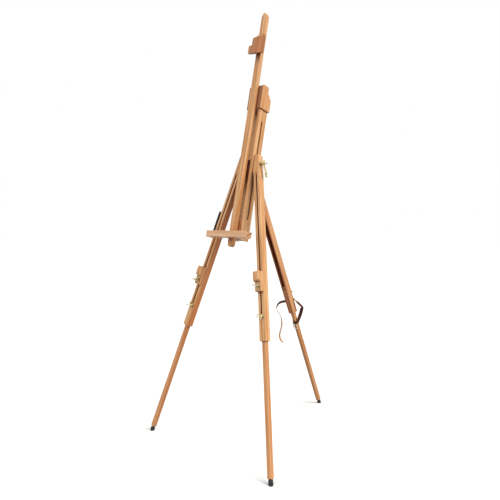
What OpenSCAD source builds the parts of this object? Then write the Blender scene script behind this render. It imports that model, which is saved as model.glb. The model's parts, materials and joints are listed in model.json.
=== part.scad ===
// Giant folding field easel: three telescopic legs and a tilting, sliding mast on one bolt.
// Front is -Y, up is +Z, and the origin is on the floor at the middle of the three feet.

/* [Stance] */
// Height of the pivot bolt above the floor
pivot_h = 1470; // [1350:5:1550]
// Distance from the easel's middle to each front foot, sideways
front_foot_x = 437; // [360:1:480]
// Distance from the front feet's line to the rear foot
stance_depth = 999; // [900:1:1080]
// Distance of the pivot bolt behind the front feet's line
pivot_setback = 337; // [280:1:380]
// Lean of the mast, backwards from upright
mast_lean = 12.2; // [4:0.1:20]

/* [Legs] */
// Width of an upper leg
leg_w = 37; // [34:0.5:44]
// Depth of an upper leg
leg_d = 37; // [36:0.5:40]
// Length of an upper leg below the pivot bolt
upper_len = 925; // [880:5:980]
// Length of a front leg's head below the pivot bolt
head_len = 78; // [70:1:100]
// Length of the rear leg's head below the pivot bolt
rear_head_len = 136; // [80:2:150]
// Height of a front leg's head above the pivot bolt
head_rise = 45; // [30:1:50]
// Thickness of an upper leg's slotted face
face_t = 9; // [7:0.5:10]
// Side of the square lower leg
lower_w = 21.6; // [18:0.2:22]
// Distance of the lower leg's bolt below the pivot bolt
clamp_at = 808; // [760:1:830]
// Length of lower leg above its bolt
lower_lead = 63; // [50:1:70]
// Length of the plate that closes the channel at its lower end
keeper_len = 164; // [140:1:200]
// Height of a rubber foot along the leg
foot_h = 26; // [20:1:34]

/* [Mast] */
// Length of mast bar above the pivot bolt
bar_above = 838; // [700:1:900]
// Length of mast bar below the pivot bolt
bar_below = 456; // [440:1:520]
// Width of the mast bar
bar_w = 35; // [30:1:40]
// Thickness of the mast bar
bar_t = 24; // [20:1:28]
// Depth of a mast rail
rail_d = 60; // [50:1:62]
// Thickness of a mast rail
rail_t = 12; // [10:0.5:14]
// Clear width between the rails
rail_gap = 58; // [58:1:64]
// Upper end of the rails' slot above the pivot bolt
slot_top = 230; // [200:1:240]
// Lower end of the rails' slot below the pivot bolt
slot_bottom = 298; // [280:1:300]
// Length of the canvas tray
tray_len = 284; // [240:2:286]
// Height of the canvas tray
tray_h = 33; // [26:1:40]

/* [Fastenings] */
// Diameter of every clamping bolt
bolt_dia = 8; // [6:0.5:8]
// Span of a wing nut
wing_span = 34; // [28:1:34]

/* [Hidden] */

$fn = 48;

BEECH = [0.84, 0.64, 0.44];
BEECH_DARK = [0.76, 0.54, 0.34];
BRASS = [0.80, 0.66, 0.30];
BLACK = [0.07, 0.07, 0.07];
LEATHER = [0.25, 0.12, 0.06];

LEFT = -1;
RIGHT = 1;

// clearance between moving neighbours, and the radial clearance of a running fit
gap = 0.3;
run = 0.05;
bolt_r = bolt_dia / 2;
bore_r = bolt_r + run;
// a little extra length, so that cuts pass right through
over = 1;

// stance angles
pivot_y = pivot_setback - stance_depth / 2;
pivot = [0, pivot_y, pivot_h];
rail_out = rail_gap / 2 + rail_t;
leg_offset = rail_out + 17;
front_pitch = atan2(pivot_setback, pivot_h);
front_plane_len = norm([pivot_setback, pivot_h]);
splay = atan2(front_foot_x - leg_offset, front_plane_len);
rear_pitch = atan2(stance_depth - pivot_setback, pivot_h);
front_len = norm([front_plane_len, front_foot_x - leg_offset]);
rear_len = norm([stance_depth - pivot_setback, pivot_h]);

// leg section: outer slotted face at -y, open side of the channel at +y
half_w = leg_w / 2;
half_d = leg_d / 2;
cavity_w = lower_w + 2 * gap;
slot_w = bolt_dia + 2 * run;
blade_r = 120;
blade_cut = face_t + 1;
blade_below_head = 16;
lower_y0 = -half_d + face_t + gap;
lower_mid_y = lower_y0 + lower_w / 2;
keeper_y0 = lower_y0 + lower_w + gap;
tongue_len = 50;
lower_top = clamp_at - lower_lead;

// mast section: y runs backwards from the bolt, so the front is -y
rail_half = rail_d / 2;
bar_back = -38;
bar_front = bar_back - bar_t;
tray_back = -60;
tray_front = -107;
tray_bottom = -413;
tray_top = tray_bottom + tray_h;
rail_bottom = -413;
rail_top = 392;
block_top = -315;
block_back = 15;
collar_half = 49;
collar_bottom = 300;
collar_top = 431;
collar_step_low = 364;
collar_step_high = 397;
collar_back_low = 38;
collar_back_high = 10;

// canvas peg, placed by its bolt
peg_at = 662;
peg_rise = 74;
peg_drop = 26;
peg_out = 34;
peg_tab = 20;
peg_ledge = 52;
peg_face = -half_d - gap - peg_tab;

washer_r = 12;
washer_t = 1.6;

// flat for the pivot bolt's washer, just below the head's outer cheek
washer_seat_r = 12.5;
pivot_seat = leg_point(half_w, -5)[0] - 1.2;
bolt_reach = 52;

// leather strap, riveted across the rear leg's outer face: one end folds over and falls to
// a loop round the lower leg, and the other end hangs free
strap_w = 20;
strap_t = 2.6;
strap_at = 840;
strap_loop_at = 990;
strap_loose = 1.2;
strap_fold = [[28.5, -843], [34, -858], [40, -870], [47, -881], [54, -894], [58, -903]];
strap_fall = [
    [58, -900], [58, -914], [48, -933], [39, -948], [31, -962], [25.5, -974], [25, -988]
];
strap_turn = 43;
strap_tail_off = 36.9;
strap_tail = [
    [3, 4], [-8, -6], [-16, -13], [-27, -15], [-38, -16], [-51, -20], [-61, -26], [-70, -39],
    [-75, -55], [-71, -69], [-61, -85], [-52, -101], [-45, -119], [-43, -140], [-43, -160],
    [-48, -182], [-53, -201], [-56, -222], [-51, -243], [-42, -257], [-31, -266]
];
rivet_x = 8;
buckle_at = 1014;

// screws with slotted round heads
screw_r = 2.5;
screw_x = 9;
tray_screw_tip = bar_front - 26;
tray_screw_z = tray_bottom + tray_h / 2;
head_screw_tip = bar_front + 4;
head_screw_z = collar_top - 22;

// top holder
holder_cheek = 4.2;
holder_half = bar_w / 2 + gap + holder_cheek;
holder_screw_y = -53;
holder_screw_z = 668;

// carrying handle
handle_top = 262;
handle_bottom = 436;
handle_w = 24;
handle_tab = 22;
handle_t = 3.6;
handle_stand = 17;
handle_grip = 7;
handle_screw_at = 11;

// ---------- frames ----------

module at_mast() {
    translate(pivot) rotate([-mast_lean, 0, 0]) children();
}

module at_front_plane() {
    translate(pivot) rotate([-front_pitch, 0, 0]) children();
}

module at_front_leg(side) {
    at_front_plane()
        translate([side * leg_offset, 0, 0])
            rotate([0, -side * splay, 0])
                children();
}

module at_rear_leg() {
    translate(pivot) rotate([rear_pitch, 0, 0]) rotate([0, 0, 180]) children();
}

// stands a drawing made in x and z upright, and gives it the depth from y0 to y1
module upright(y0, y1) {
    translate([0, y1, 0]) rotate([90, 0, 0]) linear_extrude(y1 - y0) children();
}

// gives a drawing made in y and z the width from x0 to x1
module sideways(x0, x1) {
    translate([x0, 0, 0]) rotate([90, 0, 90]) linear_extrude(x1 - x0) children();
}

// a box between two corners
module block(low, high) {
    translate(low) cube(high - low);
}

module bore_along_x(x0, x1, r, facets = $fn) {
    translate([x0, 0, 0]) rotate([0, 90, 0]) cylinder(h = x1 - x0, r = r, $fn = facets);
}

module bore_along_y(y0, y1, r) {
    translate([0, y1, 0]) rotate([90, 0, 0]) cylinder(h = y1 - y0, r = r);
}

// ---------- legs ----------

// milled channel with a long slot in its outer face, below a head of the length given
module leg_channel(head) {
    color(BEECH) difference() {
        block([-half_w, -half_d, -upper_len], [half_w, half_d, -head]);
        block([-cavity_w / 2, -half_d + face_t, -upper_len - over],
              [cavity_w / 2, half_d + over, -head + over]);
        upright(-half_d - over, -half_d + face_t + over) {
            translate([-slot_w / 2, -clamp_at])
                square([slot_w, clamp_at - head - blade_below_head]);
            translate([0, -clamp_at]) circle(d = slot_w);
        }
        blade_run_out(head);
    }
}

// where the saw blade that cuts the slot leaves the wood, in an arc
module blade_run_out(head) {
    translate([0, -half_d + blade_cut - blade_r, -head - blade_below_head])
        bore_along_x(-slot_w / 2, slot_w / 2, blade_r, 180);
}

// plate that closes the channel behind the lower leg
module leg_keeper() {
    color(BEECH_DARK)
        block([-cavity_w / 2, keeper_y0, -upper_len],
              [cavity_w / 2, half_d, -upper_len + keeper_len]);
}

// tongue that is glued into the top of the channel
module head_tongue(head) {
    block([-cavity_w / 2, -half_d + face_t, -head - tongue_len],
          [cavity_w / 2, half_d, -head]);
}

// a point of the splayed leg, across u and down w, seen in the plane of both front legs
function leg_point(u, w) = [
    leg_offset + u * cos(splay) + w * sin(splay),
    u * sin(splay) - w * cos(splay)
];

// the inner cheek lies flat on the rail, and the outer one is spot-faced for the bolt's washer
module front_head(side) {
    inner_x = rail_out + gap;
    head_top = leg_point(half_w, -head_rise);
    color(BEECH) difference() {
        union() {
            at_front_plane() mirror([side == LEFT ? 1 : 0, 0, 0])
                upright(-half_d, half_d)
                    polygon([
                        [inner_x, head_top[1]],
                        head_top,
                        leg_point(half_w, head_len),
                        leg_point(-half_w, head_len),
                        leg_point(-half_w, 60),
                        [inner_x, -36]
                    ]);
            at_front_leg(side) head_tongue(head_len);
        }
        at_front_leg(side) blade_run_out(head_len);
        at_front_plane() bore_along_x(-150, 150, bore_r);
        at_front_plane() mirror([side == LEFT ? 1 : 0, 0, 0])
            bore_along_x(pivot_seat, 150, washer_seat_r);
    }
}

// rounded head that fills the space between the two rails
module rear_head() {
    wide = rail_gap / 2 - gap;
    rise = 10;
    color(BEECH_DARK) at_rear_leg() difference() {
        union() {
            block([-wide, -half_d, -rear_head_len], [wide, half_d, rise]);
            translate([0, 0, rise]) bore_along_x(-wide, wide, half_d);
            head_tongue(rear_head_len);
        }
        blade_run_out(rear_head_len);
        bore_along_x(-wide - over, wide + over, bore_r);
    }
}

module chamfered_end(half, end) {
    chamfer = 3;
    polygon([
        [-half - over, -lower_top + over], [half + over, -lower_top + over],
        [half + over, -end + chamfer + over], [half - chamfer, -end],
        [-half + chamfer, -end], [-half - over, -end + chamfer + over]
    ]);
}

// square lower leg with a chamfered end, drilled for its bolt and for the foot's spigot
module lower_leg(len) {
    end = len - foot_h;
    half = lower_w / 2;
    color(BEECH) difference() {
        translate([0, lower_mid_y, 0]) intersection() {
            block([-half, -half, -end], [half, half, -lower_top]);
            upright(-half - over, half + over) chamfered_end(half, end);
            sideways(-half - over, half + over) chamfered_end(half, end);
        }
        translate([0, 0, -clamp_at]) {
            bore_along_y(-leg_d, leg_d, bore_r);
            bore_along_y(keeper_y0 - gap - 4, leg_d, 7.5);
        }
        translate([0, lower_mid_y, -end - over]) cylinder(h = 22 + over, r = 5 + run);
    }
}

// rubber foot with a spigot, its sole cut flat by the floor
module foot(len) {
    end = len - foot_h;
    color(BLACK) translate([0, lower_mid_y, -end]) rotate_extrude() polygon([
        [0, 20], [5, 20], [5, 0], [8.6, 0], [9.8, -1.4], [10.6, -4], [11.2, -8], [11.5, -12],
        [11.5, -16], [11.2, -20], [10.6, -24], [9.9, -28], [8.4, -31], [0, -32]
    ]);
}

module above_floor() {
    intersection() {
        children();
        translate([-700, -700, 0]) cube([1400, 1400, 400]);
    }
}

// carriage bolt through the lower leg and the slot
module leg_bolt() {
    head_y = keeper_y0 - gap;
    color(BRASS) translate([0, 0, -clamp_at]) {
        bore_along_y(-half_d - 40, head_y, bolt_r);
        bore_along_y(head_y - 3.6, head_y - 0.2, 7);
    }
}

module washer(y_back) {
    color(BRASS) difference() {
        bore_along_y(y_back - washer_t, y_back, washer_r);
        bore_along_y(y_back - washer_t - over, y_back + over, bore_r);
    }
}

// wing nut on a bolt along y, its seat at y_back and its wings towards -y
module wing_nut(y_back, turn) {
    tip = wing_span / 2;
    color(BRASS) translate([0, y_back, 0]) rotate([0, turn, 0]) rotate([90, 0, 0])
        difference() {
            union() {
                rotate_extrude() polygon([
                    [0, 0], [8, 0], [8, 2.4], [6.6, 5], [6, 11], [5.4, 12], [0, 12]
                ]);
                for (turned = [0, 180])
                    rotate([90, 0, turned]) translate([0, 0, -1.5]) linear_extrude(3) {
                        polygon([
                            [3, 2], [tip - 5, 5], [tip - 1.4, 8.5], [tip - 6.5, 16.5], [3, 9]
                        ]);
                        translate([tip - 5.2, 11.5]) circle(r = 5.2);
                    }
            }
            translate([0, 0, -over]) cylinder(h = 30, r = bore_r);
        }
}

module leg_washer() {
    translate([0, 0, -clamp_at]) washer(-half_d - gap);
}

module leg_wing_nut(turn) {
    translate([0, 0, -clamp_at]) wing_nut(-half_d - 2 * gap - washer_t, turn);
}

// ---------- canvas pegs ----------

// ledge block that slides on a front leg's face; the bolt clamps its thinner lower tab
module peg() {
    back = -half_d - gap;
    color(BEECH) translate([0, 0, -peg_at]) difference() {
        sideways(-half_w, half_w)
            polygon([
                [back, peg_rise], [back - peg_out + 3, peg_rise], [back - peg_out, peg_rise - 3],
                [back - peg_out, peg_rise - peg_ledge + 8], [back - peg_out + 8, peg_rise - peg_ledge],
                [back - peg_tab, peg_rise - peg_ledge], [back - peg_tab, -peg_drop + 4],
                [back - peg_tab + 4, -peg_drop], [back, -peg_drop]
            ]);
        bore_along_y(back - peg_out - over, back + over, bore_r);
    }
}

// carriage bolt with its head inside the channel
module peg_bolt() {
    color(BRASS) translate([0, 0, -peg_at]) {
        bore_along_y(-half_d - 62, -half_d + face_t + gap + 1, bolt_r);
        bore_along_y(-half_d + face_t + gap, -half_d + face_t + gap + 3.2, 7);
    }
}

module peg_washer() {
    translate([0, 0, -peg_at]) washer(peg_face);
}

module peg_wing_nut(turn) {
    translate([0, 0, -peg_at]) wing_nut(peg_face - washer_t - gap, turn);
}

// ---------- pivot ----------

module pivot_bolt() {
    color(BRASS) at_mast() {
        bore_along_x(-pivot_seat - gap - washer_t, pivot_seat + bolt_reach, bolt_r);
        translate([-pivot_seat - gap - washer_t, 0, 0]) rotate([0, -90, 0]) rotate_extrude()
            polygon([[0, 0], [9, 0], [8.6, 2], [6.5, 4.2], [3, 5.2], [0, 5.5]]);
    }
}

module pivot_washers() {
    color(BRASS) at_mast()
        for (side = [LEFT, RIGHT]) mirror([side == LEFT ? 1 : 0, 0, 0])
            difference() {
                bore_along_x(pivot_seat + gap, pivot_seat + gap + washer_t, washer_seat_r - 1);
                bore_along_x(pivot_seat, pivot_seat + 10, bore_r);
            }
}

// nut with a long curved lever that hangs down and a short thumb wing on top
module lock_lever() {
    seat = pivot_seat + 2 * gap + washer_t;
    hub_len = 30;
    arm_w = 9;
    paddle_w = 13;
    color(BRASS) translate(pivot) difference() {
        union() {
            translate([seat, 0, 0]) rotate([0, 90, 0]) rotate_extrude()
                polygon([
                    [0, 0], [8, 0], [8, 3], [6.5, 5], [6.5, 20], [8, 22], [8, hub_len - 2],
                    [6, hub_len], [0, hub_len]
                ]);
            upright(-arm_w / 2, arm_w / 2) translate([seat + hub_len - 6, 0]) polygon([
                [-3, -4], [3, -4], [4.4, -14], [8, -26], [13, -38], [15.6, -48], [15.4, -58],
                [11.6, -58], [11.8, -49], [9.4, -40], [4.4, -28], [0, -16], [-3, -6]
            ]);
            upright(-paddle_w / 2, paddle_w / 2) translate([seat + hub_len - 6, 0]) polygon([
                [11.8, -50], [15.6, -50], [15.4, -60], [16.6, -67], [19.5, -72], [17, -74.5],
                [13.6, -69.5], [11.8, -61]
            ]);
            upright(-2, 2) translate([seat + hub_len - 6, 0]) polygon([
                [-3, 4], [3, 4], [5, 12], [3.4, 17], [-1.4, 17], [-4, 12]
            ]);
        }
        bore_along_x(seat - over, seat + hub_len + over, bore_r);
    }
}

// ---------- mast ----------

module rail(side) {
    color(BEECH) at_mast() mirror([side == LEFT ? 1 : 0, 0, 0]) difference() {
        block([rail_gap / 2, -rail_half, rail_bottom], [rail_out, rail_half, rail_top]);
        sideways(rail_gap / 2 - over, rail_out + over) {
            translate([-slot_w / 2, -slot_bottom]) square([slot_w, slot_bottom + slot_top]);
            for (z = [-slot_bottom, slot_top]) translate([0, z]) circle(d = slot_w);
        }
    }
}

// long front bar: half-round lower end, bevelled upper end
module mast_bar() {
    half = bar_w / 2;
    color(BEECH) at_mast() difference() {
        upright(bar_front, bar_back) {
            translate([0, -bar_below + half]) circle(r = half);
            polygon([
                [-half, -bar_below + half], [half, -bar_below + half], [half, bar_above - 19],
                [5, bar_above], [-5, bar_above], [-half, bar_above - 19]
            ]);
        }
        screw_holes(tray_screw_tip, bar_back + over, tray_screw_z);
        screw_holes(head_screw_tip, bar_back + over, head_screw_z);
    }
}

// block that joins the rails' upper ends to the bar, deeper at its lower half
module mast_head() {
    color(BEECH_DARK) at_mast() difference() {
        sideways(-collar_half, collar_half)
            polygon([
                [bar_back, collar_bottom], [bar_back, collar_top - 6], [bar_back + 8, collar_top],
                [collar_back_high, collar_top - 2], [collar_back_high, collar_step_high],
                [collar_back_low, collar_step_low], [collar_back_low, collar_bottom - 2]
            ]);
        for (side = [LEFT, RIGHT]) mirror([side == LEFT ? 1 : 0, 0, 0])
            block([rail_gap / 2, -rail_half, collar_bottom - 10], [rail_out, rail_half, rail_top]);
        screw_holes(bar_back - over, collar_back_high + over, head_screw_z);
    }
}

// block between the rails' lower ends that carries the bar and the tray
module mast_foot_block() {
    color(BEECH_DARK) at_mast() difference() {
        block([-rail_gap / 2, bar_back, rail_bottom], [rail_gap / 2, block_back, block_top]);
        screw_holes(bar_back - over, block_back + over, tray_screw_z);
    }
}

// round screw head that stands up along z, its slot turned
module screw_head(turn) {
    difference() {
        rotate_extrude() polygon([[0, 0], [5, 0], [4.4, 1.6], [2.4, 2.8], [0, 3]]);
        rotate([0, 0, turn]) block([-6, -0.55, 1.5], [6, 0.55, 4]);
    }
}

module screw_holes(y0, y1, z) {
    for (x = [-screw_x, screw_x]) translate([x, 0, z]) bore_along_y(y0, y1, screw_r);
}

// a pair of screws along y, their heads on the face at y_head
module screw_pair(y_tip, y_head, z) {
    color(BRASS) at_mast() {
        screw_holes(y_tip, y_head, z);
        for (x = [-screw_x, screw_x])
            translate([x, y_head, z]) rotate([-90, 0, 0]) screw_head(40 + 7 * x);
    }
}

module tray_screws() {
    screw_pair(tray_screw_tip, block_back, tray_screw_z);
}

module mast_head_screws() {
    screw_pair(head_screw_tip, collar_back_high, head_screw_z);
}

// canvas tray with a groove behind its front lip, notched round the bar
module tray() {
    half = tray_len / 2;
    lip = 11;
    groove = 5;
    color(BEECH) at_mast() difference() {
        block([-half, tray_front, tray_bottom], [half, tray_back, tray_top]);
        block([-half - over, tray_front + lip, tray_top - groove],
              [half + over, bar_front, tray_top + over]);
        block([-bar_w / 2, bar_front, tray_bottom - over], [bar_w / 2, tray_back + over, tray_top + over]);
        screw_holes(tray_screw_tip, bar_front + over, tray_screw_z);
    }
}

// hook that slides on the bar and holds the canvas's top edge
module top_holder() {
    saddle = bar_w / 2 + gap;
    color(BEECH_DARK) at_mast() difference() {
        sideways(-holder_half, holder_half)
            polygon([
                [-46, 612], [-46, 706], [bar_front - 2, 712], [-99, 676], [-99, 629],
                [-120, 622], [-120, 577], [-97, 584], [-84, 592]
            ]);
        block([-saddle, bar_front - gap, 500], [saddle, -40, 760]);
        translate([0, holder_screw_y, holder_screw_z]) bore_along_x(-holder_half - over, 0, 3 + run);
    }
}

// thumb screw through the holder's left cheek
module holder_screw() {
    color(BRASS) at_mast() translate([0, holder_screw_y, holder_screw_z]) {
        bore_along_x(-holder_half - 6, -bar_w / 2 - gap, 3);
        translate([-holder_half - 5, 0, 0]) rotate([0, -90, 0]) difference() {
            rotate_extrude() polygon([[0, 0], [5, 0], [7.5, 1.5], [7.5, 7], [6.5, 8.5], [0, 9]]);
            for (turn = [0 : 36 : 359])
                rotate([0, 0, turn]) translate([8.1, 0, -over]) cylinder(h = 11, r = 1.2, $fn = 16);
        }
    }
}

// ---------- carrying handle ----------

// side view: flat ends, and a straight grip that stands off the leg
module handle_profile() {
    ramp = 12;
    face = -half_w;
    polygon([
        [face, -handle_top], [face - handle_t, -handle_top],
        [face - handle_t, -handle_top - handle_tab + 3],
        [face - handle_stand - handle_grip, -handle_top - handle_tab + ramp],
        [face - handle_stand - handle_grip, -handle_bottom + handle_tab - ramp],
        [face - handle_t, -handle_bottom + handle_tab - 3],
        [face - handle_t, -handle_bottom], [face, -handle_bottom],
        [face, -handle_bottom + handle_tab],
        [face - handle_stand, -handle_bottom + handle_tab + ramp],
        [face - handle_stand, -handle_top - handle_tab - ramp],
        [face, -handle_top - handle_tab]
    ]);
}

module carry_handle() {
    color(BLACK) at_front_leg(LEFT) difference() {
        upright(-handle_w / 2, handle_w / 2) handle_profile();
        handle_screw_axes();
    }
}

module handle_screw_axes() {
    for (z = [-handle_top - handle_screw_at, -handle_bottom + handle_screw_at])
        translate([0, 0, z]) bore_along_x(-half_w - 12, -half_w + 6, screw_r + run);
}

module handle_plates() {
    color(BLACK) at_front_leg(LEFT) difference() {
        for (z = [-handle_top - 18, -handle_bottom + 2])
            block([-half_w - handle_t - 1.6, -handle_w / 2 - 2, z],
                  [-half_w - handle_t, handle_w / 2 + 2, z + 16]);
        handle_screw_axes();
    }
}

module handle_screws() {
    color(BRASS) at_front_leg(LEFT)
        for (z = [-handle_top - handle_screw_at, -handle_bottom + handle_screw_at])
            translate([-half_w - handle_t - 1.6, 0, z]) {
                bore_along_x(0, handle_t + 1.6, screw_r);
                rotate([0, -90, 0]) screw_head(z);
            }
}

// ---------- leather strap ----------

function direction(points, i) =
    let (a = points[max(i - 1, 0)], b = points[min(i + 1, len(points) - 1)])
    (b - a) / norm(b - a);

function beside(points, i, distance) =
    let (d = direction(points, i)) points[i] + distance * [-d[1], d[0]];

// outline of a band of even width along a row of points
module band(points, width) {
    last = len(points) - 1;
    polygon([
        for (i = [0 : last]) beside(points, i, width / 2),
        for (i = [last : -1 : 0]) beside(points, i, -width / 2)
    ]);
}

module leather_strap() {
    inside = lower_w / 2 + strap_loose;
    color(LEATHER) at_rear_leg() {
        block([-half_w - strap_t, -half_d - strap_t, -strap_at - strap_w / 2],
              [half_w + strap_t, -half_d, -strap_at + strap_w / 2]);
        translate([0, lower_mid_y, -strap_loop_at - strap_w / 2])
            linear_extrude(strap_w) difference() {
                square(2 * (inside + strap_t), center = true);
                square(2 * inside, center = true);
            }
        rotate([0, 0, 45]) mirror([1, 0, 0]) {
            upright(-strap_w / 2, strap_w / 2) band(strap_fold, strap_t);
            upright(-strap_t / 2, strap_t / 2) band(strap_fall, strap_w);
        }
    }
    color(LEATHER) translate(pivot + strap_at * [0, sin(rear_pitch), -cos(rear_pitch)])
        rotate([0, 0, strap_turn])
            upright(strap_tail_off - strap_w / 2, strap_tail_off + strap_w / 2)
                band(strap_tail, strap_t);
}

// buckle on the inner side of the strap's loop, with its prong
module strap_buckle() {
    face_y = lower_mid_y + lower_w / 2 + strap_loose + strap_t;
    color(BRASS) at_rear_leg() translate([0, 0, -buckle_at]) {
        difference() {
            block([-14, face_y, -17], [14, face_y + 2.6, 17]);
            block([-11, face_y - over, -14], [-1.3, face_y + 4, 14]);
            block([1.3, face_y - over, -14], [11, face_y + 4, 14]);
        }
        block([-1, face_y + 1.4, -1.2], [14.6, face_y + 3.8, 1.2]);
    }
}

module strap_rivets() {
    color(BRASS) at_rear_leg()
        for (x = [-rivet_x, rivet_x])
            translate([x, -half_d - strap_t, -strap_at]) rotate([90, 0, 0]) rotate_extrude()
                polygon([[0, 0], [3.6, 0], [3, 1.4], [1.6, 2.1], [0, 2.2]]);
}

// ---------- nodes ----------

at_front_leg(RIGHT) leg_channel(head_len);  // right_leg_channel
front_head(RIGHT);  // right_leg_head
at_front_leg(RIGHT) leg_keeper();  // right_leg_keeper
at_front_leg(LEFT) leg_channel(head_len);  // left_leg_channel
front_head(LEFT);  // left_leg_head
at_front_leg(LEFT) leg_keeper();  // left_leg_keeper
at_rear_leg() leg_channel(rear_head_len);  // rear_leg_channel
rear_head();  // rear_leg_head
at_rear_leg() leg_keeper();  // rear_leg_keeper
at_front_leg(RIGHT) lower_leg(front_len);  // right_lower_leg
above_floor() at_front_leg(RIGHT) foot(front_len);  // right_foot
at_front_leg(RIGHT) leg_bolt();  // right_leg_bolt
at_front_leg(RIGHT) leg_washer();  // right_leg_washer
at_front_leg(LEFT) lower_leg(front_len);  // left_lower_leg
above_floor() at_front_leg(LEFT) foot(front_len);  // left_foot
at_front_leg(LEFT) leg_bolt();  // left_leg_bolt
at_front_leg(LEFT) leg_washer();  // left_leg_washer
at_rear_leg() lower_leg(rear_len);  // rear_lower_leg
above_floor() at_rear_leg() foot(rear_len);  // rear_foot
at_rear_leg() leg_bolt();  // rear_leg_bolt
at_rear_leg() leg_washer();  // rear_leg_washer
at_front_leg(RIGHT) leg_wing_nut(38);  // right_leg_wing_nut
at_front_leg(LEFT) leg_wing_nut(65);  // left_leg_wing_nut
at_rear_leg() leg_wing_nut(75);  // rear_leg_wing_nut
at_front_leg(RIGHT) peg();  // right_peg
at_front_leg(RIGHT) peg_bolt();  // right_peg_bolt
at_front_leg(RIGHT) peg_washer();  // right_peg_washer
at_front_leg(RIGHT) peg_wing_nut(10);  // right_peg_wing_nut
at_front_leg(LEFT) peg();  // left_peg
at_front_leg(LEFT) peg_bolt();  // left_peg_bolt
at_front_leg(LEFT) peg_washer();  // left_peg_washer
at_front_leg(LEFT) peg_wing_nut(-35);  // left_peg_wing_nut
pivot_bolt();
pivot_washers();
lock_lever();
rail(LEFT);  // left_rail
rail(RIGHT);  // right_rail
mast_bar();
mast_head();
mast_foot_block();
tray();
tray_screws();
mast_head_screws();
top_holder();
holder_screw();
carry_handle();
handle_plates();
handle_screws();
leather_strap();
strap_buckle();
strap_rivets();
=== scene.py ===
import json
import math

import bmesh
import bpy
from mathutils import Matrix, Vector


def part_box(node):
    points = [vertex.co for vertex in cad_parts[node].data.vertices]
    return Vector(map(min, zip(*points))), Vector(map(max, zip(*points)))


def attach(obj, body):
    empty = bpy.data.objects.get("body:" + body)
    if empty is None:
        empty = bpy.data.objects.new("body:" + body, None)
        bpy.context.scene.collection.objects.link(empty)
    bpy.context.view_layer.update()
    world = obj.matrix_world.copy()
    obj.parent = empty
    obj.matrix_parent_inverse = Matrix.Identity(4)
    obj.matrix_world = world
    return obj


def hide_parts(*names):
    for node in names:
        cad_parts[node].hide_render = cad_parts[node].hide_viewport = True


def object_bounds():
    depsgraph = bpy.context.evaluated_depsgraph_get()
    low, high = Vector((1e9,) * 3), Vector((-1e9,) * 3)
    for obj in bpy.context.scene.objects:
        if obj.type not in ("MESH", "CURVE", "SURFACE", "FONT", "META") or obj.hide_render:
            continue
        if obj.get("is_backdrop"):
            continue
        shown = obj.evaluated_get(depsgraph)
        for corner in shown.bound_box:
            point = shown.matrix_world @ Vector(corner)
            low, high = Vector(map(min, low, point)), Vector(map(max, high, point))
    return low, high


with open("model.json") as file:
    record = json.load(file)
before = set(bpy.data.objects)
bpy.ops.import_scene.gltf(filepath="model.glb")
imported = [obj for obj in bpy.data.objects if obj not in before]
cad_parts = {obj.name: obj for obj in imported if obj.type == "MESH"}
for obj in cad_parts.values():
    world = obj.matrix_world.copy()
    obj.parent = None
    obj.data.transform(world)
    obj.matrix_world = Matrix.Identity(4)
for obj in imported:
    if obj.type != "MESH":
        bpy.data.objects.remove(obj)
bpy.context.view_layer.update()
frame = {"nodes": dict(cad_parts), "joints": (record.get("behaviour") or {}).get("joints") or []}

NODES = frame["nodes"]
JOINTS = {j["name"]: j for j in frame["joints"]}
Z = Vector((0, 0, 1))


# ---------- places, from the imported joints and a few given distances ---

CLAMP = 0.808       # distance of a lower leg's bolt from the pivot, down the leg
NUT_OUT = 0.030     # a leg wing nut's joint stands this far out from the leg's axis
PEG_BOLT = 0.662    # distance of a peg's bolt from the pivot, down the leg
BOLT_RADIUS = 0.004


def axes(origin, backwards, up):
    """A frame with its z along up and its y along backwards."""
    up, backwards = up.normalized(), backwards.normalized()
    side = backwards.cross(up)
    m = Matrix((side, backwards, up)).transposed().to_4x4()
    m.translation = origin
    return m


def leg_frame(side):
    """Origin on the leg's axis at its bolt, z up the leg, and the slotted face at -y."""
    nut = JOINTS[side + "_leg_wing_nut_turn"]
    out = Vector(nut["axis"])
    up = Vector(JOINTS[side + "_lower_leg_slide"]["axis"])
    return axes(Vector(nut["pos_m"]) - NUT_OUT * out, -out, up)


LEG = {side: leg_frame(side) for side in ("right", "left", "rear")}
PIVOT = Vector(JOINTS["mast_tilt"]["pos_m"])
MAST_UP = Vector(JOINTS["mast_slide"]["axis"])


def on_leg(side, x, y, down):
    """A point of a leg, with down measured from the pivot."""
    return LEG[side] @ Vector((x, y, CLAMP - down))


# ---------- materials ----------

def rgb(code):
    """Linear colour of a hexadecimal screen colour."""
    parts = [int(code[i:i + 2], 16) / 255 for i in (0, 2, 4)]
    return tuple(c / 12.92 if c <= 0.04045 else ((c + 0.055) / 1.055) ** 2.4 for c in parts) + (1.0,)


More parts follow.
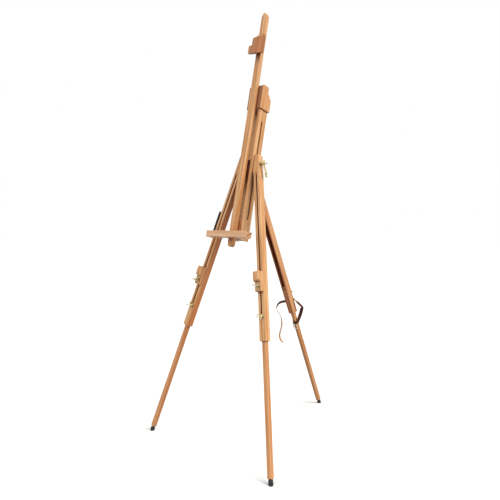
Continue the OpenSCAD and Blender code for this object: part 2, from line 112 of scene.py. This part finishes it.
class Shader:
    """A material with a Principled shader, and short calls that add nodes to it."""

    def __init__(self, name, **constants):
        self.material = bpy.data.materials.new(name)
        self.material.use_nodes = True
        self.tree = self.material.node_tree
        self.bsdf = self.tree.nodes["Principled BSDF"]
        for key, value in constants.items():
            self.bsdf.inputs[key.replace("_", " ")].default_value = value

    def add(self, kind, feeds=None, **props):
        n = self.tree.nodes.new(kind)
        for key, value in props.items():
            setattr(n, key, value)
        for key, value in (feeds or {}).items():
            self.feed(n.inputs[key], value)
        return n

    def feed(self, socket, value):
        if isinstance(value, bpy.types.NodeSocket):
            self.tree.links.new(value, socket)
        else:
            socket.default_value = value

    def math(self, operation, a, b=0.0, clamp=False):
        return self.add("ShaderNodeMath", {0: a, 1: b}, operation=operation, use_clamp=clamp).outputs[0]

    def vector(self, operation, a, b):
        return self.add("ShaderNodeVectorMath", {0: a, 1: b}, operation=operation).outputs[0]

    def scaled(self, a, factor):
        n = self.add("ShaderNodeVectorMath", {0: a}, operation="SCALE")
        n.inputs["Scale"].default_value = factor
        return n.outputs[0]

    def noise(self, vector, scale, detail=2.0, roughness=0.5, out="Fac"):
        return self.add("ShaderNodeTexNoise", {
            "Vector": vector, "Scale": scale, "Detail": detail, "Roughness": roughness,
        }).outputs[out]

    def ramp(self, factor, *stops):
        n = self.add("ShaderNodeValToRGB", {0: factor})
        points = n.color_ramp.elements
        while len(points) < len(stops):
            points.new(0.5)
        for point, (at, value) in zip(points, stops):
            point.position = at
            point.color = value if isinstance(value, tuple) else (value, value, value, 1.0)
        return n.outputs[0]

    def mix(self, factor, a, b, blend="MIX"):
        n = self.add("ShaderNodeMix", data_type="RGBA", blend_type=blend)
        self.feed(n.inputs[0], factor)
        self.feed(n.inputs[6], a)
        self.feed(n.inputs[7], b)
        return n.outputs[2]

    def object_point(self):
        return self.add("ShaderNodeTexCoord").outputs["Object"]

    def bump(self, height, strength, distance):
        n = self.add("ShaderNodeBump", {"Height": height, "Strength": strength, "Distance": distance})
        self.feed(self.bsdf.inputs["Normal"], n.outputs[0])

    def finish(self, colour, roughness):
        self.feed(self.bsdf.inputs["Base Color"], colour)
        self.feed(self.bsdf.inputs["Roughness"], roughness)
        return self.material


def wood(name, grain, heart, tones, facing_shade=None):
    """Lacquered beech: a solid texture of growth rings, fibres and ray flecks about an axis along the grain,
    with painted shade darkening hollows and corners. The last argument is (axis, amount, colour) of painted
    shade for faces that look along an axis."""
    pale, warm, deep = (rgb(tone) for tone in tones)
    s = Shader(name, Coat_Weight=0.07, Coat_Roughness=0.3, Specular_IOR_Level=0.34)
    coords = s.add("ShaderNodeTexCoord").outputs
    turn = grain.rotation_difference(Z).to_euler()
    placed = {"Vector": coords["Object"], "Location": heart, "Rotation": turn}
    p = s.add("ShaderNodeMapping", placed).outputs[0]

    slow = s.noise(s.vector("MULTIPLY", p, (9, 9, 1.6)), 1.0, 2.0, 0.5, out="Color")
    bent = s.vector("ADD", p, s.scaled(s.vector("SUBTRACT", slow, (0.5, 0.5, 0.5)), 0.016))
    flat = s.vector("MULTIPLY", bent, (1, 1, 0))
    radius = s.add("ShaderNodeVectorMath", {0: flat}, operation="LENGTH").outputs["Value"]
    ring = s.math("FRACT", s.math("MULTIPLY", radius, 230.0))
    ring = s.ramp(ring, (0.0, 0.0), (0.55, 0.25), (0.88, 1.0), (1.0, 0.1))

    fibre = s.noise(s.vector("MULTIPLY", bent, (1100, 1100, 22)), 1.0, 3.0, 0.6)
    fibre = s.ramp(fibre, (0.30, 0.0), (0.70, 1.0))
    flecks = s.add("ShaderNodeTexVoronoi", {
        "Vector": s.vector("MULTIPLY", p, (430, 430, 105)), "Scale": 1.0, "Randomness": 1.0,
    }).outputs["Distance"]
    flecks = s.ramp(flecks, (0.10, 1.0), (0.24, 0.0))
    tone = s.ramp(s.noise(s.vector("MULTIPLY", bent, (75, 75, 3.0)), 1.0, 3.0, 0.6), (0.38, 0.0), (0.62, 1.0))

    colour = s.mix(tone, pale, warm)
    colour = s.mix(s.math("MULTIPLY", ring, 0.40), colour, deep)
    colour = s.mix(s.math("MULTIPLY", fibre, 0.30), colour, deep)
    colour = s.mix(s.math("MULTIPLY", flecks, 0.45), colour, deep)

    turned = {"Vector": coords["Normal"], "Rotation": turn}
    facing = s.add("ShaderNodeMapping", turned, vector_type="NORMAL").outputs[0]
    end = s.math("ABSOLUTE", s.add("ShaderNodeSeparateXYZ", {0: facing}).outputs[2])
    end = s.ramp(end, (0.72, 0.0), (0.92, 1.0))
    pores = s.ramp(s.noise(p, 1400.0, 2.0, 0.6), (0.35, 0.3), (0.65, 1.0))
    colour = s.mix(s.math("MULTIPLY", end, s.math("MULTIPLY", pores, 0.55)), colour, deep)
    # painted shade: faces that look along the given axis are darkened towards the given colour, where such
    # faces lie in shade
    if facing_shade:
        axis, amount, hue = facing_shade
        looks = s.math("ABSOLUTE", s.add("ShaderNodeSeparateXYZ", {0: coords["Normal"]}).outputs[axis])
        colour = s.mix(s.ramp(looks, (0.60, 0.0), (0.85, amount)), colour, rgb(hue))

    # painted shade: hollows and corners found by ambient occlusion are darkened towards a deep red-brown
    open_sky = s.add("ShaderNodeAmbientOcclusion", {"Distance": 0.05}, samples=8).outputs["AO"]
    painted_shade = s.ramp(open_sky, (0.16, 0.97), (0.45, 0.5), (0.80, 0.0))
    colour = s.mix(painted_shade, colour, rgb("6a1c02"))

    rough = s.math("ADD", s.math("MULTIPLY", fibre, 0.12), 0.40)
    relief = s.math("SUBTRACT", s.math("MULTIPLY", fibre, -0.5), s.math("MULTIPLY", flecks, 0.6))
    s.bump(relief, 0.25, 0.0002)
    return s.finish(colour, rough)


def brass(name, bright="c9a95c", dull="6d5526"):
    """Cast brass with tarnish in patches, fine scratches, and painted shade in its hollows."""
    s = Shader(name, Metallic=1.0)
    p = s.object_point()
    patch = s.ramp(s.noise(p, 190.0, 4.0, 0.65), (0.38, 0.0), (0.66, 1.0))
    speck = s.ramp(s.noise(p, 1500.0, 3.0, 0.6), (0.45, 0.0), (0.72, 1.0))
    colour = s.mix(s.math("MULTIPLY", patch, 0.75), rgb(bright), rgb(dull))
    colour = s.mix(s.math("MULTIPLY", speck, 0.35), colour, rgb("3d2f16"))
    # painted shade: hollows of the casting are darkened towards near black
    open_sky = s.add("ShaderNodeAmbientOcclusion", {"Distance": 0.012}, samples=8).outputs["AO"]
    colour = s.mix(s.ramp(open_sky, (0.3, 0.95), (0.85, 0.0)), colour, rgb("1c1608"))
    rough = s.math("ADD", s.math("MULTIPLY", patch, 0.22), 0.2)
    scratches = s.noise(s.vector("MULTIPLY", p, (2600, 320, 900)), 1.0, 2.0, 0.6)
    s.bump(s.math("ADD", s.math("MULTIPLY", scratches, 0.5), speck), 0.18, 0.0002)
    return s.finish(colour, rough)


def rubber(name):
    """Matt black rubber with a fine moulded grain and dusty patches."""
    s = Shader(name, Specular_IOR_Level=0.35)
    p = s.object_point()
    dust = s.ramp(s.noise(p, 60.0, 5.0, 0.6), (0.5, 0.0), (0.75, 1.0))
    grain = s.noise(p, 1800.0, 3.0, 0.6)
    colour = s.mix(s.math("MULTIPLY", dust, 0.4), rgb("121213"), rgb("34312e"))
    s.bump(grain, 0.3, 0.0003)
    return s.finish(colour, s.math("ADD", s.math("MULTIPLY", dust, 0.18), 0.62))


def leather(name, light, dark, gloss, grain=0.35):
    """Hide with a cell-like grain, creases in its relief, and rubbed patches."""
    s = Shader(name, Specular_IOR_Level=0.22)
    p = s.object_point()
    cells = s.add("ShaderNodeTexVoronoi", {"Vector": p, "Scale": 620.0}, feature="DISTANCE_TO_EDGE")
    cells = s.ramp(cells.outputs["Distance"], (0.0, 0.0), (0.22, 1.0))
    rubbed = s.ramp(s.noise(p, 70.0, 4.0, 0.6), (0.36, 0.0), (0.68, 1.0))
    creases = s.noise(s.vector("MULTIPLY", p, (90, 90, 420)), 1.0, 3.0, 0.6)
    colour = s.mix(rubbed, rgb(dark), rgb(light))
    colour = s.mix(s.math("MULTIPLY", s.math("SUBTRACT", 1.0, cells), 0.5), colour, rgb("120806"))
    rough = s.math("ADD", s.math("MULTIPLY", rubbed, 0.15), gloss)
    s.bump(s.math("ADD", s.math("MULTIPLY", cells, 0.6), creases), grain, 0.0004)
    return s.finish(colour, rough)


def suede(name):
    """The strap's rough flesh side and cut edges."""
    s = Shader(name, Specular_IOR_Level=0.25, Sheen_Weight=0.25)
    p = s.object_point()
    nap = s.noise(p, 1500.0, 4.0, 0.7)
    patch = s.noise(p, 90.0, 3.0, 0.6)
    colour = s.mix(patch, rgb("c08f60"), rgb("9c6b42"))
    colour = s.mix(s.math("MULTIPLY", nap, 0.4), colour, rgb("6a4226"))
    s.bump(nap, 0.5, 0.0004)
    return s.finish(colour, s.math("ADD", s.math("MULTIPLY", nap, 0.1), 0.78))


def floor_paint():
    """White paint that sends less light back on to the easel than it shows."""
    s = Shader("floor_paint", Specular_IOR_Level=0.0)
    p = s.object_point()
    tint = s.noise(p, 1.2, 3.0, 0.5)
    path = s.add("ShaderNodeLightPath").outputs
    seen = s.math("MAXIMUM", path["Is Camera Ray"], path["Is Glossy Ray"])
    white = s.mix(tint, rgb("e6e6e6"), rgb("e3e3e2"))
    return s.finish(s.mix(seen, rgb("8f8a84"), white), s.math("ADD", s.math("MULTIPLY", tint, 0.1), 0.85))


def dress(node, material):
    """Gives a CAD node its finished material."""
    slots = NODES[node].material_slots
    for slot in slots:
        slot.link = "OBJECT"
        slot.material = material


# ---------- modifiers for the carried-over CAD nodes ----------

def smooth_group():
    group = bpy.data.node_groups.new("shade_smooth", "GeometryNodeTree")
    group.interface.new_socket("Geometry", in_out="INPUT", socket_type="NodeSocketGeometry")
    group.interface.new_socket("Geometry", in_out="OUTPUT", socket_type="NodeSocketGeometry")
    source = group.nodes.new("NodeGroupInput")
    smooth = group.nodes.new("GeometryNodeSetShadeSmooth")
    sink = group.nodes.new("NodeGroupOutput")
    group.links.new(source.outputs[0], smooth.inputs[0])
    group.links.new(smooth.outputs[0], sink.inputs[0])
    return group


SMOOTH = smooth_group()


def shade_smooth(obj):
    obj.modifiers.new("smooth", "NODES").node_group = SMOOTH
    obj.modifiers.new("normals", "WEIGHTED_NORMAL").keep_sharp = False


def soften(node, width, segments=2):
    """Rounds a CAD node's edges over, as sanding does."""
    obj = NODES[node]
    obj.modifiers.new("weld", "WELD").merge_threshold = 1e-5
    flat = obj.modifiers.new("flat", "DECIMATE")
    flat.decimate_type = "DISSOLVE"
    flat.angle_limit = math.radians(0.4)
    edge = obj.modifiers.new("edge", "BEVEL")
    edge.width = width
    edge.segments = segments
    edge.limit_method = "ANGLE"
    edge.angle_limit = math.radians(32)
    edge.use_clamp_overlap = False
    shade_smooth(obj)


def cast(node, voxel, repeats):
    """Melts a CAD node's hard corners together, as a casting's are."""
    obj = NODES[node]
    obj.modifiers.new("weld", "WELD").merge_threshold = 1e-5
    cells = obj.modifiers.new("cells", "REMESH")
    cells.mode = "VOXEL"
    cells.voxel_size = voxel
    relax = obj.modifiers.new("relax", "SMOOTH")
    relax.factor = 0.5
    relax.iterations = repeats
    obj.modifiers.new("smooth", "NODES").node_group = SMOOTH


# ---------- mesh helpers ----------

def piece(name, vertices, faces, materials, body, indices=None):
    """A new piece in the row frame that rides on a body."""
    mesh = bpy.data.meshes.new(name)
    mesh.from_pydata([tuple(v) for v in vertices], [], faces)
    for m in materials:
        mesh.materials.append(m)
    bm = bmesh.new()
    bm.from_mesh(mesh)
    bm.faces.ensure_lookup_table()
    if indices:
        for face, index in zip(bm.faces, indices):
            face.material_index = index
    bmesh.ops.recalc_face_normals(bm, faces=bm.faces)
    for face in bm.faces:
        face.smooth = True
    bm.to_mesh(mesh)
    bm.free()
    obj = bpy.data.objects.new(name, mesh)
    bpy.context.scene.collection.objects.link(obj)
    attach(obj, body)
    return obj


def grid_faces(rows, columns, close_rows=False):
    """Quads between rings of vertices; each ring is closed."""
    faces = []
    for r in range(rows if close_rows else rows - 1):
        a, b = r * columns, ((r + 1) % rows) * columns
        for c in range(columns):
            d = (c + 1) % columns
            faces.append((a + c, a + d, b + d, b + c))
    return faces


def spline(points, steps):
    """Catmull-Rom points through a row of vectors of any length."""
    out = []
    last = len(points) - 1
    for i in range(last):
        p0, p1, p2, p3 = points[max(i - 1, 0)], points[i], points[i + 1], points[min(i + 2, last)]
        for k in range(steps):
            t = k / steps
            out.append(0.5 * ((2 * p1) + (p2 - p0) * t + (2 * p0 - 5 * p1 + 4 * p2 - p3) * t * t
                              + (3 * p1 - p0 - 3 * p2 + p3) * t ** 3))
    out.append(points[last].copy())
    return out


def threaded(name, node, tip, head, radius, cap, body, plain=0.006, pitch=0.00125):
    """A bolt in place of a CAD node: a helical thread from the tip, a plain neck, and a lathed head.
    cap is a row of (distance past the head's seat, radius)."""
    axis = (head - tip).normalized()
    length = (head - tip).length
    across = axis.orthogonal().normalized()
    other = axis.cross(across)
    columns = 20
    rows = [(0.0, radius * 0.62, 0.0), (0.0009, radius * 0.92, 0.5)]
    count = int((length - plain - 0.0018) / pitch * 5)
    for i in range(count):
        rows.append((0.0018 + i * pitch / 5, radius, 1.0))
    rows += [(length - plain, radius, 0.4), (length - plain + 0.0005, radius, 0.0), (length, radius, 0.0)]
    rows += [(length + d, r, 0.0) for d, r in cap]
    vertices = []
    for distance, r, cut in rows:
        for c in range(columns):
            phase = (distance / pitch + c / columns) % 1.0
            depth = cut * 0.00068 * abs(2 * phase - 1)
            angle = 2 * math.pi * c / columns
            rim = (across * math.cos(angle) + other * math.sin(angle)) * (r - depth)
            vertices.append(tip + axis * distance + rim)
    faces = grid_faces(len(rows), columns)
    faces.append(tuple(range(columns)))
    last = (len(rows) - 1) * columns
    faces.append(tuple(range(last + columns - 1, last - 1, -1)))
    obj = piece(name, vertices, faces, [STEEL], body)
    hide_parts(node)
    return obj


RIBBON = [
    (-0.5, -0.30), (-0.488, -0.5), (-0.25, -0.5), (0.25, -0.5), (0.488, -0.5), (0.5, -0.30),
    (0.5, 0.30), (0.488, 0.5), (0.25, 0.5), (-0.25, 0.5), (-0.488, 0.5), (-0.5, 0.30),
]


def stations(keys, steps):
    """Places along a strap: (centre, across, outwards) at even parameters, from keys of (centre, across)."""
    rows = spline([Vector((*centre, *across)) for centre, across in keys], steps)
    out = []
    for i, row in enumerate(rows):
        before, after = rows[max(i - 1, 0)], rows[min(i + 1, len(rows) - 1)]
        ahead = (Vector(after[:3]) - Vector(before[:3])).normalized()
        across = Vector(row[3:])
        across = (across - ahead * across.dot(ahead)).normalized()
        out.append((Vector(row[:3]), across, ahead.cross(across)))
    return out


def ribbon(name, places, width, thick, body, closed=False, taper=0):
    """A strap with a grained outer face (along outwards) and a suede inner face and edges."""
    vertices = []
    for i, (centre, across, outwards) in enumerate(places):
        narrow = min(1.0, 0.35 + 0.65 * math.sin(math.pi / 2 * i / taper)) if taper and i < taper else 1.0
        for a, b in RIBBON:
            vertices.append(centre + across * (a * width * narrow) + outwards * (b * thick))
    n = len(RIBBON)
    faces = grid_faces(len(places), n, closed)
    indices = [0 if f % n in (6, 7, 8, 9, 10) else 1 for f in range(len(faces))]
    if not closed:
        faces.append(tuple(range(n)))
        faces.append(tuple(range(len(vertices) - 1, len(vertices) - n - 1, -1)))
        indices += [1, 1]
    return piece(name, vertices, faces, [LEATHER, SUEDE], body, indices)


# a stitch, as (distance along the strap, radius of the thread)
STITCH = [(-0.0013, 0.0001), (-0.001, 0.0004), (0.001, 0.0004), (0.0013, 0.0001)]


def stitches(name, places, offset, lift, body, pitch=0.0042):
    """Two rows of waxed thread along a strap's outer face."""
    vertices, faces = [], []
    travelled, due = 0.0, pitch
    for (a, side_a, out_a), (b, _side, _out) in zip(places, places[1:]):
        step = (b - a).length
        while travelled + step > due:
            at = a + (b - a) * ((due - travelled) / step)
            ahead = (b - a).normalized()
            for sign in (-1, 1):
                middle = at + side_a * (sign * offset) + out_a * lift
                base = len(vertices)
                for along_it, size in STITCH:
                    for k in range(6):
                        angle = math.pi * k / 3
                        vertices.append(middle + ahead * along_it + side_a * (size * math.cos(angle))
                                        + out_a * (size * math.sin(angle)))
                faces += [tuple(base + v for v in f) for f in grid_faces(4, 6)]
            due += pitch
        travelled += step
    return piece(name, vertices, faces, [THREAD], body)


# ---------- stage, lights and camera ----------

def make_stage():
    bpy.ops.mesh.primitive_grid_add(x_subdivisions=8, y_subdivisions=8, size=60, location=(0, 0, 0))
    floor = bpy.context.object
    floor.name = "floor"
    floor.data.materials.append(floor_paint())
    floor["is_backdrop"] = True

    world = bpy.data.worlds.new("studio")
    bpy.context.scene.world = world
    world.use_nodes = True
    tree = world.node_tree
    soft = tree.nodes["Background"]
    soft.inputs["Color"].default_value = (1.0, 1.0, 1.0, 1.0)
    soft.inputs["Strength"].default_value = 0.42
    white = tree.nodes.new("ShaderNodeBackground")
    white.inputs["Color"].default_value = (1.0, 1.0, 1.0, 1.0)
    white.inputs["Strength"].default_value = 1.0
    seen = tree.nodes.new("ShaderNodeLightPath")
    both = tree.nodes.new("ShaderNodeMixShader")
    bright = tree.nodes.new("ShaderNodeMath")
    bright.operation = "MAXIMUM"
    tree.links.new(seen.outputs["Is Camera Ray"], bright.inputs[0])
    tree.links.new(seen.outputs["Is Glossy Ray"], bright.inputs[1])
    tree.links.new(bright.outputs[0], both.inputs[0])
    tree.links.new(soft.outputs[0], both.inputs[1])
    tree.links.new(white.outputs[0], both.inputs[2])
    tree.links.new(both.outputs[0], tree.nodes["World Output"].inputs["Surface"])


def far_light(name, azimuth, elevation, spread, strength, colour=(1, 1, 1)):
    """A wide, far-off studio light from a compass angle, even over the whole floor."""
    light = bpy.data.lights.new(name, "SUN")
    light.angle = math.radians(spread)
    light.energy = strength
    light.color = colour
    obj = bpy.data.objects.new(name, light)
    a, e = math.radians(azimuth), math.radians(elevation)
    towards = Vector((math.sin(a) * math.cos(e), -math.cos(a) * math.cos(e), math.sin(e)))
    obj.location = towards * 5
    obj.rotation_euler = towards.to_track_quat("Z", "Y").to_euler()
    bpy.context.scene.collection.objects.link(obj)


def make_camera():
    data = bpy.data.cameras.new("camera")
    data.sensor_width = 36
    data.lens = 35.86
    camera = bpy.data.objects.new("camera", data)
    camera.location = (1.827, -2.132, 1.151)
    camera.rotation_euler = (math.radians(87.08), 0, math.radians(42.85))
    bpy.context.scene.collection.objects.link(camera)
    bpy.context.scene.camera = camera


make_camera()
make_stage()
far_light("key", 100, 40, 50, 3.9, (1.0, 0.985, 0.955))
far_light("front", -10, 36, 50, 1.75)
bpy.context.scene.view_settings.view_transform = "Standard"


# ---------- finishes of the CAD nodes ----------

X = Vector((1, 0, 0))


def along(side):
    return LEG[side].to_3x3().col[2]


WOODEN = [
    # node, fibres' direction, edge radius
    ("mast_bar", MAST_UP, 0.0016), ("left_rail", MAST_UP, 0.0009), ("right_rail", MAST_UP, 0.0009),
    ("mast_head", MAST_UP, 0.0022), ("mast_foot_block", MAST_UP, 0.0012),
    ("top_holder", MAST_UP, 0.0012), ("tray", X, 0.0016),
]
for side in ("right", "left", "rear"):
    WOODEN += [
        (side + "_leg_channel", along(side), 0.0011), (side + "_leg_head", along(side), 0.0011),
        (side + "_leg_keeper", along(side), 0.0006), (side + "_lower_leg", along(side), 0.0011),
    ]
for side in ("right", "left"):
    WOODEN.append((side + "_peg", along(side), 0.0014))

BEECH = ("e3b784", "c18850", "7c4219")
TONES = {
    # rear_leg_head's palette is far darker than the other beech: painted shade on that head
    "mast_head": ("dca873", "c48750", "7c4219"), "rear_leg_head": ("8f5528", "7d4520", "4f260e"),
    "top_holder": ("c08650", "a0642f", "66320f"), "tray": ("e6c09a", "d0a074", "8a4d22"),
    "mast_foot_block": ("c08450", "a86c3a", "6b3814"), "rear_leg_keeper": ("b8794a", "9f6134", "66300f"),
    "rear_leg_channel": ("d6a272", "b67a48", "773c16"), "rear_lower_leg": ("d09a68", "b27442", "773c16"),
    "right_lower_leg": ("d8a270", "bc7f4c", "7a3f18"), "left_lower_leg": ("d29a68", "b67844", "773c16"),
}
# painted shade per node: (axis, amount, colour) that darkens the faces looking along that axis, where they
# lie in shade
FACING_SHADES = {
    "mast_bar": (0, 0.12, "a8581f"), "mast_head": (1, 0.75, "6a2f12"),
    "left_leg_channel": (0, 0.55, "a8511a"), "left_leg_head": (0, 0.4, "a8511a"),
    "rear_leg_channel": (1, 0.6, "963f12"), "mast_foot_block": (1, 0.5, "85370f"),
    "top_holder": (0, 0.3, "7a3a12"),
}
for number, (node, grain, radius) in enumerate(WOODEN):
    heart = (0.085 + 0.021 * (number % 5), 0.04 - 0.033 * (number % 4), 0.37 * number)
    dress(node, wood("beech_" + node, grain, heart, TONES.get(node, BEECH), FACING_SHADES.get(node)))
    soften(node, radius)

BRASS = brass("brass_cast", "d6c080", "6a5628")
STEEL = brass("steel_passivated", "e2dcc8", "8d8468")
for node in NODES:
    if "wing_nut" in node or node == "lock_lever":
        dress(node, BRASS)
        cast(node, 0.00045, 5)
    elif any(word in node for word in ("bolt", "washer", "screw", "rivet", "buckle")):
        dress(node, STEEL if "washer" in node or "buckle" in node else BRASS)
RUBBER = rubber("rubber_foot")
for side in ("right", "left", "rear"):
    dress(side + "_foot", RUBBER)
    shade_smooth(NODES[side + "_foot"])
HANDLE = leather("handle_black", "1d1b1a", "0c0b0b", 0.42)
for node in ("carry_handle", "handle_plates"):
    dress(node, HANDLE)
    soften(node, 0.0008)
LEATHER = leather("strap_leather", "54200f", "2e0f07", 0.6)
SUEDE = suede("strap_flesh_side")
THREAD = suede("strap_thread")


# ---------- threaded bolts ----------

# heads, as (distance past the seat, radius)
DOME = [
    (0.0, 0.0070), (0.0006, 0.0070), (0.0016, 0.0064), (0.0026, 0.0048), (0.0031, 0.0028), (0.0033, 0.0004),
]
CAP = [(0.0, 0.009), (0.002, 0.0086), (0.0042, 0.0065), (0.0050, 0.0036), (0.0054, 0.0006)]
CAP_HEIGHT = 0.0055
for side in ("right", "left", "rear"):
    threaded(side + "_leg_bolt_threaded", side + "_leg_bolt", on_leg(side, 0, -0.0584, CLAMP),
             on_leg(side, 0, 0.0089, CLAMP), BOLT_RADIUS, DOME, side + "_lower_leg", plain=0.024)
for side in ("right", "left"):
    threaded(side + "_peg_bolt_threaded", side + "_peg_bolt", on_leg(side, 0, -0.0804, PEG_BOLT),
             on_leg(side, 0, -0.0092, PEG_BOLT), BOLT_RADIUS, DOME, side + "_peg", plain=0.012)
low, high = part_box("pivot_bolt")
threaded("pivot_bolt_threaded", "pivot_bolt", Vector((high.x, PIVOT.y, PIVOT.z)),
         Vector((low.x + CAP_HEIGHT, PIVOT.y, PIVOT.z)), BOLT_RADIUS, CAP, "pivot", plain=0.138)


# ---------- leather strap ----------

STRAP_WIDTH = 0.020
STRAP_THICK = 0.0026
TAIL_TURN = 43      # degrees about the upright by which the free end's plane is turned
TAIL_TOP = 0.840    # where the free end leaves the leg, down from the pivot
TAIL_OFF = 0.0369   # how far the free end's plane stands off the leg's axis
LOOP_AT = 0.990     # the closed loop around the lower leg, down from the pivot


def hanging(right, up):
    """Centre of the strap's free end, in an upright plane turned about the leg."""
    turn = math.radians(TAIL_TURN)
    start = on_leg("rear", 0, 0, TAIL_TOP)
    return start + Vector((right * math.cos(turn) - TAIL_OFF * math.sin(turn),
                           right * math.sin(turn) + TAIL_OFF * math.cos(turn), up))


def tilted(lift, turn):
    """The strap's width on its free end: level and away from the front, lifted and turned by angles."""
    across = math.radians(TAIL_TURN + 90)
    along_it = math.radians(TAIL_TURN)
    level = Vector((math.cos(across), math.sin(across), 0))
    right = Vector((math.cos(along_it), math.sin(along_it), 0))
    return (level * math.cos(math.radians(lift)) + Z * math.sin(math.radians(lift))
            + right * math.tan(math.radians(turn))).normalized()


REAR = LEG["rear"].to_3x3()
DOWN = REAR @ Vector((0, 0, -1))
# (right, up) in millimetres and (lift, turn) in degrees, from the free end
TAIL = [
    (-31, -266, 0, 18), (-42, -257, 0, 20), (-51, -243, 0, 24), (-56, -222, 0, 26), (-53, -201, 0, 26),
    (-48, -182, 0, 25), (-43, -160, 0, 24), (-43, -140, 0, 20), (-45, -119, 0, 10), (-52, -101, 0, 2),
    (-61, -85, 0, 0), (-71, -69, 2, 0), (-75, -55, 8, 0), (-70, -39, 16, -6), (-61, -26, 24, -5),
    (-51, -20, 30, 0), (-38, -16, 32, 0), (-27, -14, 34, 0), (-16, -12, 36, 0),
]
# (across, behind, below the pivot) in millimetres on the leg's own axes, and the way the width points
BAND = [
    ((16, -20, 842), (0, 0, -1)), ((6, -19.9, 841), (0, 0, -1)), ((-6, -19.9, 842), (0, 0, -1)),
    ((-15, -20.6, 846), (0.1, -0.1, -1)), ((-23, -23, 855), (0.35, -0.6, -0.5)),
    ((-30, -26, 866), (0.45, -0.86, 0)), ((-37, -29, 877.5), (0.42, -0.88, 0.22)),
    ((-42.5, -33, 890), (0.42, -0.88, 0.2)), ((-46, -36, 901), (0.2, -0.95, 0.1)),
    ((-46.5, -36.5, 909), (-0.2, -0.95, -0.1)), ((-43, -36, 917), (-0.7, -0.55, -0.4)),
    ((-36.5, -34, 931), (-0.7, -0.5, -0.5)), ((-31, -28.5, 946), (-0.7, -0.5, -0.5)),
    ((-26, -20, 960), (-0.68, -0.55, -0.45)), ((-22, -11, 973), (-0.5, -0.8, -0.3)),
    ((-18.5, -3, 985), (-0.2, -0.95, -0.1)), ((-17, 2, 996), (0, -1, 0)),
]
keys = [(hanging(x / 1000, z / 1000), tilted(lift, turn)) for x, z, lift, turn in TAIL]
keys += [(on_leg("rear", x / 1000, y / 1000, down / 1000), (REAR @ Vector(width)).normalized())
         for (x, y, down), width in BAND]
places = stations(keys, 7)
strap = ribbon("strap_band", places, STRAP_WIDTH, STRAP_THICK, "rear_leg", taper=14)
stitches("strap_stitches", places[14:-6], 0.0078, 0.0013, "rear_leg")

MID = 0.0016       # the lower leg's axis stands this far from the upper leg's
around = []
for k in range(32):
    angle = math.pi * k / 16
    x, y = math.cos(angle), math.sin(angle)
    reach = 0.0133 / max(abs(x), abs(y), (abs(x) + abs(y)) * 0.575)
    around.append((on_leg("rear", x * reach, MID + y * reach, LOOP_AT), -DOWN, REAR @ Vector((x, y, 0))))
ribbon("strap_loop", around, STRAP_WIDTH, STRAP_THICK, "rear_leg", closed=True)
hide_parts("leather_strap")

low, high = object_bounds()
